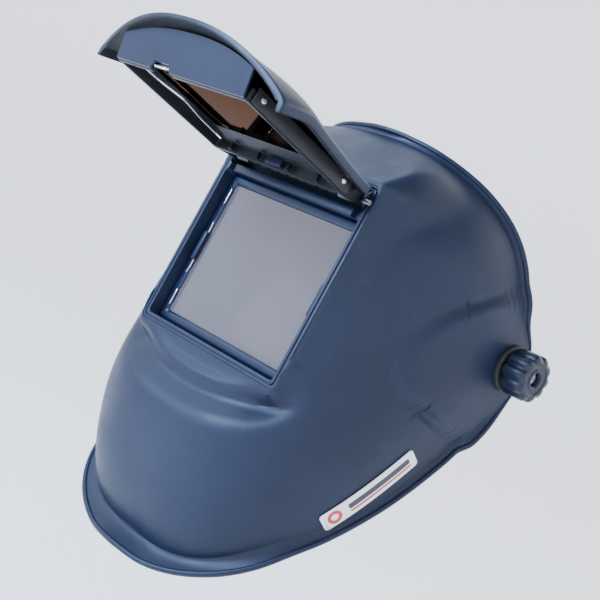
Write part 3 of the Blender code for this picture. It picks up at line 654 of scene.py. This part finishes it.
# ---- window -----------------------------------------------------------------------------------
def build_window():
    mid, half = sum(SHELL_OPEN_V) / 2, (SHELL_OPEN_V[1] - SHELL_OPEN_V[0]) / 2 + 0.1
    hx = SHELL_OPEN_X + 0.1
    cuts = [tool([[from_window(x, d, v) for x, v in rounded_rect(62.5, 6.8, 2.0, 63.2, 5)]
                  for d in (-6.0, 14.0)])]
    for side in (1, -1):
        cuts.append(tool([[from_window(side * x, d, v) for d, v in (
            (-6.0, 49.0), (4.6, 49.0), (4.6, 60.0), (-6.0, 60.0))] for x in (54.6, 60.4)]))
    ring_piece("window_surround", [
        (hx, half, 3.6, mid, 0.6), (hx, half, 3.6, mid, 17.5), (52.0, 42.0, 3.0, 0.0, 17.5),
        (52.0, 42.0, 3.0, 0.0, 12.4), (OPEN_HALF_X, OPEN_HALF_V, 2.0, 0.0, 12.4),
        (OPEN_HALF_X, OPEN_HALF_V, 2.0, 0.0, 0.6), (64.0, half - 2.4, 2.4, mid, 0.6),
        (64.0, half - 2.4, 2.4, mid, 2.2), (64.9, half - 1.5, 3.0, mid, 2.2),
        (64.9, half - 1.5, 3.0, mid, 0.6)], from_window, "frame", "shell_body",
        replaces=["window_frame"], cuts=cuts, bevel=0.25)
    ring_piece("lens_bezel", [
        (61.6, 51.3, 1.8, 0.0, 9.6), (61.6, 51.3, 1.8, 0.0, 12.1), (54.9, 44.9, 1.2, 0.0, 12.1),
        (54.9, 44.9, 1.2, 0.0, 11.8), (55.4, 45.4, 1.5, 0.0, 11.8), (55.4, 45.4, 1.5, 0.0, 9.2),
        (56.6, 46.6, 1.8, 0.0, 8.4), (60.2, 49.9, 1.8, 0.0, 8.4)],
        from_window, "frame", "shell_body", replaces=["window_gasket"], bevel=0.2)
    for side, tag in ((1, "left"), (-1, "right")):
        block("lens_tab_" + tag, (side * 55.0, side * 58.8, 6.4, 8.2, -10.0, 10.0), from_window,
              "frame", "shell_body", replaces=["lens_clip_" + tag], bevel=0.5, steps=3)
        # Painted highlight: three thin bright chrome rods along each side of the lens stand in for
        # the highlights on the lens's edge; there is no wire there.
        for k, (v0, v1) in enumerate(((-43.0, -30.0), (-19.0, 19.0), (30.0, 43.0))):
            wire = [(side * 57.6, 8.8, v0), (side * 56.0, 7.9, v0 + 1.5),
                    (side * 56.0, 7.9, v1 - 1.5), (side * 57.6, 8.8, v1)]
            rod("lens_glint_rod_%s_%d" % (tag, k + 1), [from_window(*p) for p in wire], 0.38,
                "chrome", "shell_body", sides=8, count=24)
        spring = []
        for i in range(121):
            t = i / 120.0 * 2 * math.pi * SPRING_TURNS
            spring.append(from_window(side * (42.0 + 10.5 * i / 120.0),
                                      HINGE_D + SPRING_R * math.cos(t),
                                      HINGE_V + SPRING_R * math.sin(t)))
        rod("hinge_spring_" + tag, spring, 0.5, "pin", "shell_body", sides=8, count=240,
            slot="steel")
        bracket = [(0.8, 70.0), (-3.6, 64.0), (-4.2, 62.0), (-3.0, 60.6), (0.8, 58.6),
                   (5.0, 57.2), (13.0, 57.2), (13.0, 69.2)]
        loops = [[from_window(side * x, d, v) for d, v in bracket] for x in (60.4, 62.1)]
        piece("hinge_bracket_" + tag, *loft(loops, False), "box", "shell_body", bevel=0.3)
    shaft = [(-52.6, 0.0), (-52.6, 1.5)] + [(x, r) for k in range(-4, 5) for x, r in (
        (k * 9.0 - 3.6, 1.5), (k * 9.0 - 3.5, 2.2), (k * 9.0 + 3.5, 2.2),
        (k * 9.0 + 3.6, 1.5))] + [(52.6, 1.5), (52.6, 0.0)]
    turned("hinge_rod", shaft, "box",
           lambda x, a, b: from_window(x, HINGE_D + a, HINGE_V + b), "shell_body", count=24)


# ---- flip front -------------------------------------------------------------------------------
def build_cover(cols=96, rows=34):
    top, loops = 56.0, []
    for i in range(rows + 1):
        g = i / rows
        outer, inner = [], []
        for j in range(cols + 1):
            s = -1.0 + 2.0 * j / cols
            s = math.copysign(abs(s) ** 0.8, s)
            v = top + (-64.0 + 20.0 * abs(s) ** 2.2 - top) * g
            w = cover_half_width(v)
            outer.append((s * w, cover_depth(s * w, v), v))
            skin = 3.0 * smoothstep(1.0, 0.97, abs(s))
            inner.append((s * (w - 3.4), cover_depth(s * w, v) + skin, v))
        ring = outer + [(outer[-1][0], outer[-1][1] + 5.2, outer[-1][2])]
        ring += [(inner[-1][0], inner[-1][1] + 5.2, inner[-1][2])] + inner[-2:0:-1]
        ring += [(inner[0][0], inner[0][1] + 5.2, inner[0][2]),
                 (outer[0][0], outer[0][1] + 5.2, outer[0][2])]
        loops.append([swung(*p) for p in ring])
    cover = piece("flip_cover_skin", *loft(loops, False), "cover", "flip_front",
                  replaces=["flip_cover"], bevel=0.8, steps=3, sharp=50.0)
    # Painted shade: the cover's faces that point back towards the window, its underside and inner
    # flange, take the near-black box plastic instead of the cover's own plastic, to stand in for
    # the shade under the opened front.
    cover.data.materials.append(MATERIALS["box"])
    outward = (Vector(swung(0, -1, 0)) - Vector(swung(0, 0, 0))).normalized()
    for face in cover.data.polygons:
        face.material_index = 1 if face.normal.dot(outward) < -0.15 and face.area > 4e-7 else 0


def build_flip():
    build_cover()
    mid, half = 1.3, 46.9

    def notch_tool():
        return tool([[swung(x, d, v) for x, d in ((-26.0, 5.0), (-6.0, 5.0), (-9.0, -0.6),
                                                  (-23.0, -0.6))] for v in (-54.0, -40.0)])
    ring_piece("filter_holder", [
        (60.4, half, 2.0, mid, 3.8), (60.4, half, 2.0, mid, -3.6), (52.5, 33.0, 2.0, mid, -9.1),
        (46.0, 24.0, 1.5, mid, -9.1), (46.0, 24.0, 1.5, mid, -7.7), (51.4, 29.4, 1.5, mid, -7.7),
        (51.4, 29.4, 1.5, mid, -4.6), (57.6, 43.9, 1.5, mid, -2.2), (57.6, 43.9, 1.5, mid, 3.8)],
        swung, "box", "flip_front", replaces=["filter_box"], cuts=[notch_tool()], bevel=0.35)
    loops = []
    for i in range(61):
        x = 59.0 * (-1.0 + i / 30.0)
        high = cover_depth(x, WALL_V - 6.0) + 4.4
        high_v = FOOT_V + 0.30 * (high - 3.5)
        loops.append([swung(x, 3.5, FOOT_V + 1.4), swung(x, high, high_v + 1.4),
                      swung(x, high, high_v), swung(x, 3.5, FOOT_V)])
    piece("holder_end_wall", *loft(loops, False), "frame", "flip_front", cuts=[notch_tool()],
          replaces=["box_end_wall"], sharp=60.0)
    for k, x in enumerate((-40.0, -14.0, 14.0, 40.0)):
        block("holder_rib_%d" % (k + 1), (x - 0.9, x + 0.9, -1.6, 3.2, 41.0, 44.1), swung,
              "box", "flip_front", bevel=0.3)
    block("holder_latch", (-7.0, 7.0, -1.4, 2.8, 42.0, 44.2), swung, "frame", "flip_front",
          bevel=0.5)
    for side, tag in ((1, "left"), (-1, "right")):
        outline = [(3.4, 48.6), (3.4, 50.5), (0.6, 64.5), (-2.4, 65.3), (-5.0, 63.0),
                   (-4.2, 48.6)]
        bore = tool([[swung(side * x, HINGE_D + a, HINGE_V + b) for a, b in circle(1.9, 24)]
                     for x in (50.0, 65.0)])
        loops = [[swung(x, d, v) for d, v in outline] for x in sorted((side * 55.4, side * 59.4))]
        piece("hinge_arm_" + tag, *loft(loops, False), "box", "flip_front",
              replaces=["flip_arm_" + tag], cuts=[bore], bevel=0.5, steps=3)
        block("side_rail_" + tag, (side * 60.7, side * 61.6, -5.6, 3.0, -43.0, 47.0), swung,
              "bar", "flip_front", replaces=["side_bar_" + tag], slot="frame", bevel=0.3)
        for k, v in enumerate((40.0, -37.0)):
            slot_cut = tool([[swung(side * x, SCREW_D + a, v + b) for a, b in (
                (-0.25, -1.4), (0.25, -1.4), (0.25, 1.4), (-0.25, 1.4))] for x in (62.1, 63.0)])
            turned("rail_screw_%s_%d" % (tag, k + 1),
                   [(61.7, 0.0), (61.7, 1.9), (62.1, 1.85), (62.4, 1.5), (62.5, 0.9),
                    (62.5, 0.0)], "steel",
                   lambda x, a, b, s=side, w=v: swung(s * x, SCREW_D + a, w + b),
                   "flip_front", count=28, cuts=[slot_cut],
                   replaces=["bar_screw_" + tag] if k == 0 else ())
        wire = [(51.5, -1.0, 40.6), (53.4, -1.6, 37.0), (53.5, -2.0, 22.0), (49.4, -2.6, 3.0),
                (48.9, -2.6, 1.0), (53.4, -2.0, -18.0), (53.4, -1.6, -35.0), (51.5, -1.0, -37.6)]
        rod("filter_wire_" + tag, [swung(side * x, d, v) for x, d, v in wire], 0.75, "chrome",
            "flip_front", count=60, replaces=["retainer_wire_" + tag])
    loop = [(-24.0, -0.4, -45.0), (-21.0, 1.8, -47.9), (-11.0, 1.8, -47.9), (-8.0, -0.4, -45.0)]
    rod("wire_end_loop", [swung(*p) for p in loop], 0.7, "chrome", "flip_front", count=30)


# ---- side fixings -----------------------------------------------------------------------------
def build_side(side, tag):
    def on_axle(along, a, b):
        return (side * along, a, b)

    flutes = fluted(10, 1.7, 1.9, 10.5)
    turned("grip_knob_" + tag, [
        (120.2, 4.2), (120.2, 9.6), (121.0, 13.2), (121.9, KNOB_R - 0.6), (122.9, KNOB_R),
        (129.0, KNOB_R), (135.2, KNOB_R - 0.1), (136.4, KNOB_R - 0.6), (137.3, KNOB_R - 1.7),
        (137.6, KNOB_R - 3.0), (137.6, 9.8), (137.0, 9.2), (137.0, 6.9), (137.6, 6.3),
        (137.6, 4.9), (136.9, 4.2)], "knob", on_axle, tag + "_knob", count=200, shape=flutes,
        replaces=["side_knob_" + tag], sharp=28.0)
    hexagon = tool([[on_axle(x, a, b) for a, b in circle(1.7, 6)] for x in (133.6, 136.0)])
    turned("axle_bolt_" + tag, [
        (102.4, 0.0), (102.4, 6.2), (102.8, 6.8), (104.6, 7.0), (104.6, AXLE_R),
        (134.0, AXLE_R), (134.8, AXLE_R - 0.5), (135.0, AXLE_R - 1.1), (135.0, 0.0)], "steel",
        on_axle, "headgear", count=40, cuts=[hexagon], replaces=["pivot_bolt_" + tag])
    for node, mat in (("outer_washer_", "rubber"), ("friction_washer_", "rubber"),
                      ("stop_plate_", "nylon")):
        recolour(node + tag, mat, 0.25)
    recolour("pivot_arm_" + tag, "nylon", 0.4)


def recolour(node, mat, bevel=0.0):
    """Gives a carried-over CAD node its finish and softened edges."""
    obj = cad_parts[node]
    for slot_index in range(len(obj.material_slots)):
        obj.material_slots[slot_index].material = MATERIALS[mat]
    if bevel:
        mod = obj.modifiers.new("edges", "BEVEL")
        mod.width, mod.segments, mod.limit_method = bevel * MM, 2, "ANGLE"
        mod.angle_limit = math.radians(40.0)


# ---- headgear ---------------------------------------------------------------------------------
def on_band(mid_deg, grow, rise=0.0):
    """Warp for a strap whose flat length runs round the headband from its middle angle."""
    start = math.radians(mid_deg)
    step = math.radians(0.5)
    reach = [0.0]
    for i in range(360):
        a, b = band_point(start + i * step, grow), band_point(start + (i + 1) * step, grow)
        reach.append(reach[-1] + (Vector(b) - Vector(a)).length)
    back = [0.0]
    for i in range(360):
        a, b = band_point(start - i * step, grow), band_point(start - (i + 1) * step, grow)
        back.append(back[-1] + (Vector(b) - Vector(a)).length)

    def warp(u, w, out):
        table, sign = (reach, 1.0) if u >= 0 else (back, -1.0)
        i = 0
        while i < 359 and table[i + 1] < abs(u):
            i += 1
        t = start + sign * step * (i + (abs(u) - table[i]) / (table[i + 1] - table[i]))
        here = Vector(band_point(t, grow, rise + w))
        ahead = (Vector(band_point(t + 0.01, grow, rise + w)) - here).normalized()
        return here + ahead.cross(Vector(HEAD_UP)).normalized() * out
    return warp


def band_length(deg0, deg1, grow):
    pts = [Vector(band_point(math.radians(deg0 + (deg1 - deg0) * i / 120.0), grow))
           for i in range(121)]
    return sum((b - a).length for a, b in zip(pts, pts[1:]))


def on_crown(side, drop):
    """Warp for a crown strap: along from the temple end up to the snap at the top."""
    path = [Vector(p) for p in along_curve(crown_path(side, drop, 60), 200)]
    total = sum((b - a).length for a, b in zip(path, path[1:]))

    def warp(u, w, out):
        s = clamp((u + total / 2.0) / total) * 199.0
        i = min(198, int(s))
        here = path[i].lerp(path[i + 1], s - i)
        ahead = (path[min(i + 2, 199)] - path[max(i - 1, 0)]).normalized()
        return here + Vector((0.0, w, 0.0)) + ahead.cross(Vector((0.0, 1.0, 0.0))) * out
    return warp, total


def soft_pad(name, deg0, deg1, grow, width, thick, node, rise=0.0):
    """Foam pad on the inside of the band: inflated by a short cloth run, then seamed."""
    length = band_length(deg0, deg1, grow)
    warp = on_band((deg0 + deg1) / 2.0, grow, rise)

    def refine(obj):
        mod = obj.modifiers.new("grid", "REMESH")
        mod.mode, mod.voxel_size = "VOXEL", PAD_GRID * MM
        bpy.context.view_layer.update()
        settle(obj)
        before = [v.co.copy() for v in obj.data.vertices]
        cloth = obj.modifiers.new("puff", "CLOTH")
        cloth.settings.quality = 6
        cloth.settings.mass = 0.2
        cloth.settings.use_pressure = True
        cloth.settings.uniform_pressure_force = 4.0
        cloth.settings.effector_weights.gravity = 0.0
        cloth.point_cache.frame_start, cloth.point_cache.frame_end = 1, PUFF_FRAMES
        for frame_number in range(1, PUFF_FRAMES + 1):
            bpy.context.scene.frame_set(frame_number)
        puffed = obj.evaluated_get(bpy.context.evaluated_depsgraph_get()).data
        moved = [v.co.copy() for v in puffed.vertices]
        obj.modifiers.clear()
        for vert, old, new in zip(obj.data.vertices, before, moved):
            step = new - old
            vert.co = old + step * min(1.0, PUFF_LIMIT * MM / max(step.length, 1e-9))
        bpy.context.scene.frame_set(1)
        sub = obj.modifiers.new("smooth", "SUBSURF")
        sub.levels = sub.render_levels = 1

    outline = rounded_rect(length / 2.0 - 1.2, width / 2.0 - 1.2, 9.0, 0.0, 6)
    inset = rounded_rect(length / 2.0 - 3.2, width / 2.0 - 3.2, 7.5, 0.0, 6)
    flat, crown = -thick / 2.0 + 0.6, thick / 2.0 - 1.2
    loops = [[(a, b, -flat - 0.5) for a, b in inset], [(a, b, -flat - 1.4) for a, b in outline],
             [(a, b, -crown + 1.4) for a, b in outline], [(a, b, -crown) for a, b in inset]]

    def bend(u, w, out):
        stitch = abs(width / 2.0 - 3.6 - abs(w))
        ends = abs(length / 2.0 - 4.0 - abs(u))
        dent = 0.7 * math.exp(-(stitch / 0.9) ** 2) + 0.7 * math.exp(-(ends / 0.9) ** 2)
        cells = 0.18 * math.sin(u * 2 * math.pi / 7.0) * math.sin(w * 2 * math.pi / 7.0)
        inner = smoothstep(0.5, -1.5, out)
        return warp(u, w, out + inner * (dent + cells))
    obj = piece(name, *loft(loops, False), "foam", BODY_OF[node], replaces=[node],
                modify=refine, warp=bend, sharp=80.0)
    return obj


BODY_OF = {"sweat_pad": "headgear", "nape_pad": "rear_cradle"}


def build_headgear():
    wide = band_length(-128.0, 128.0, 0.0)
    holes = [(s * (96.0 + 15.0 * k), 0.0, 5.2, 2.4) for s in (1, -1) for k in range(5)]
    holes += [(s * (30.0 + 20.0 * k), s2 * 6.6, 6.5, 1.3) for s in (1, -1) for k in range(3)
              for s2 in (1, -1)]
    strap("head_band", wide, 24.0, 2.0, on_band(0.0, 0.0), "nylon", "headgear", holes,
          corner=6.0, steps=150, replaces=["front_band"])
    soft_pad("brow_pad", -52.0, 52.0, -4.9, 32.0, 7.2, "sweat_pad")
    soft_pad("neck_pad", 160.0, 200.0, -4.6, 26.0, 6.4, "nape_pad")
    for side, tag in ((1, "left"), (-1, "right")):
        tail = band_length(108.0, 151.5, 2.6)
        rack = [(-tail / 2.0 + 8.0 + 4.0 * k, 0.0, 1.1, 4.2) for k in range(int(tail / 4.0) - 3)]
        strap("rack_tail_" + tag, tail, 14.0, 2.0, on_band(side * 129.75, 2.6), "nylon",
              "rear_cradle", rack, corner=3.5, steps=60, replaces=["rear_tail_" + tag])
        warp, total = on_crown(side, 0.0 if side > 0 else 2.4)
        snaps = [(total / 2.0 - 10.0 - 12.0 * k, 0.0, 2.1, 2.1) for k in range(1, 6)]
        strap("over_strap_" + tag, total, 18.0, 1.6, warp, "nylon", "headgear", snaps,
              corner=7.0, steps=70, replaces=["crown_strap_" + tag])
    recolour("crown_pin", "nylon", 0.3)
    recolour("pinion", "nylon", 0.2)
    strap("cradle_housing", band_length(152.0, 208.0, 3.6), 30.0, 6.0, on_band(180.0, 3.6),
          "nylon", "rear_cradle", [(0.0, 0.0, 7.2, 7.2)], corner=9.0, steps=40, bevel=1.6,
          replaces=["ratchet_housing"])
    grip = [(s * (16.0 + 5.0 * k), 0.0, 1.0, 8.0) for s in (1, -1) for k in range(3)]
    strap("cradle_cover", band_length(156.0, 204.0, 7.9), 26.0, 1.6, on_band(180.0, 7.9),
          "nylon", "rear_cradle", [(0.0, 0.0, 3.0, 3.0)] + grip, corner=8.0, steps=40, bevel=0.5,
          replaces=["ratchet_cover"])
    turned("tension_knob", [
        (9.4, 3.0), (9.4, 14.0), (10.2, 16.0), (11.2, 17.1), (17.4, 17.1), (19.0, 16.3),
        (20.0, 14.6), (20.2, 13.2), (20.2, 9.8), (19.4, 9.0), (19.4, 3.0)], "knob", behind,
        "ratchet_wheel", count=192, shape=fluted(12, 1.6, 1.7, 10.5),
        replaces=["ratchet_knob"], sharp=28.0)


# ---- label ------------------------------------------------------------------------------------
LABEL_MID = (-66.5, -92.0)           # (y, z) of the label's middle
LABEL_RUN = math.radians(53.0)       # its long side rises towards the back by this much


def on_cheek(u, w, lift):
    """Warp for the label: u along it, w across it."""
    ca, sa = math.cos(LABEL_RUN), math.sin(LABEL_RUN)

    def at(p, q):
        y, z = LABEL_MID[0] + p * ca - q * sa, LABEL_MID[1] + p * sa + q * ca
        return Vector((body_x(y, z), y, z))
    here = at(u, w)
    out = (at(u + 0.5, w) - here).cross(at(u, w + 0.5) - here).normalized()
    return here + out * (lift if out.x > 0 else -lift)


def build_label():
    def raised(lift, u0=0.0, w0=0.0):
        return lambda u, w, out: on_cheek(u + u0, w + w0, lift + out)
    strap("cheek_label", 66.0, 12.4, 0.5, raised(0.75), "label", "shell_body", corner=2.2,
          steps=30, bevel=0.12, replaces=["label_plate"])
    strap("label_bar_long", 44.0, 3.6, 0.2, raised(1.12, 6.5, 0.7), "ink", "shell_body",
          corner=1.2, steps=20, bevel=0.0, slot="stripe", replaces=["label_stripe"])
    strap("label_bar_short", 44.0, 1.1, 0.2, raised(1.12, 6.5, -3.0), "stripe", "shell_body",
          corner=0.55, steps=14, bevel=0.0)
    strap("label_ring", 9.0, 9.0, 0.2, raised(1.12, -25.0, 0.0), "stripe", "shell_body",
          [(0.0, 0.0, 2.4, 2.4)], corner=4.4, steps=6, bevel=0.0)


# ---- stage ------------------------------------------------------------------------------------
def build_stage():
    """A seamless pale sweep, soft lights and the camera."""
    rings = [(0.6, -0.42), (1.2, -0.42), (1.8, -0.42), (2.3, -0.36), (2.7, -0.20),
             (3.0, 0.10), (3.1, 0.6), (3.1, 1.6), (3.1, 3.0)]
    count, verts, faces = 96, [], []
    for r, z in rings:
        verts += [(r * math.cos(2 * math.pi * i / count), r * math.sin(2 * math.pi * i / count),
                   z) for i in range(count)]
    faces.append(tuple(reversed(range(count))))
    for k in range(len(rings) - 1):
        for i in range(count):
            j = (i + 1) % count
            faces.append((k * count + i, k * count + j, (k + 1) * count + j, (k + 1) * count + i))
    mesh = bpy.data.meshes.new("sweep")
    mesh.from_pydata(verts, [], faces)
    mesh.polygons.foreach_set("use_smooth", [True] * len(mesh.polygons))
    floor = bpy.data.objects.new("sweep", mesh)
    bpy.context.scene.collection.objects.link(floor)
    mat = bpy.data.materials.new("sweep_paper")
    mat.use_nodes = True
    bsdf = mat.node_tree.nodes["Principled BSDF"]
    bsdf.inputs["Base Color"].default_value = (0.80, 0.80, 0.80, 1.0)
    bsdf.inputs["Roughness"].default_value = 0.95
    bsdf.inputs["Emission Color"].default_value = (0.97, 0.98, 1.0, 1.0)
    bsdf.inputs["Emission Strength"].default_value = 0.66
    mesh.materials.append(mat)

    world = bpy.data.worlds.new("studio")
    bpy.context.scene.world = world
    world.use_nodes = True
    world.node_tree.nodes["Background"].inputs["Color"].default_value = (0.90, 0.94, 1.0, 1.0)
    world.node_tree.nodes["Background"].inputs["Strength"].default_value = 0.35
    for name, spot, aim, size, power, colour in (
            ("key", (-0.80, -1.60, 0.85), (0.0, -0.10, -0.03), 0.9, 80.0, (0.42, 0.62, 1.0)),
            ("sky", (-1.0, -0.25, 1.45), (0.0, -0.08, 0.0), 0.9, 20.0, (0.50, 0.70, 1.0)),
            ("rear", (0.3, 1.5, 0.9), (0.0, 0.0, 0.0), 1.2, 12.0, (0.85, 0.92, 1.0))):
        data = bpy.data.lights.new(name, "AREA")
        data.shape, data.size, data.energy, data.color = "SQUARE", size, power, colour
        lamp = bpy.data.objects.new(name, data)
        bpy.context.scene.collection.objects.link(lamp)
        lamp.location = spot
        lamp.rotation_mode = "QUATERNION"
        lamp.rotation_quaternion = (Vector(aim) - Vector(spot)).to_track_quat("-Z", "Y")

    cam_data = bpy.data.cameras.new("camera")
    cam_data.lens, cam_data.sensor_width = CAMERA_LENS, 36.0
    cam_data.clip_start, cam_data.clip_end = 0.01, 20.0
    cam = bpy.data.objects.new("camera", cam_data)
    bpy.context.scene.collection.objects.link(cam)
    azimuth, elevation, roll = map(math.radians, CAMERA_ANGLES)
    back = Vector((math.sin(azimuth) * math.cos(elevation),
                   -math.cos(azimuth) * math.cos(elevation), math.sin(elevation)))
    level = Vector((math.cos(azimuth), math.sin(azimuth), 0.0))
    up = back.cross(level)
    right = level * math.cos(roll) + up * math.sin(roll)
    top = up * math.cos(roll) - level * math.sin(roll)
    rows = [(right[i], top[i], back[i], CAMERA_AT[i]) for i in range(3)]
    cam.matrix_world = Matrix(rows + [(0.0, 0.0, 0.0, 1.0)])
    bpy.context.scene.camera = cam


build_stage()
build_shell()
build_window()
build_flip()
for side, tag in ((1, "left"), (-1, "right")):
    build_side(side, tag)
build_headgear()
build_label()
recolour("clear_lens", "clear", 0.3)
recolour("filter_lens", "filter", 0.2)
recolour("filter_cover_plate", "filter", 0.15)
for tag in ("left", "right"):
    recolour("hinge_pin_" + tag, "pin", 0.2)
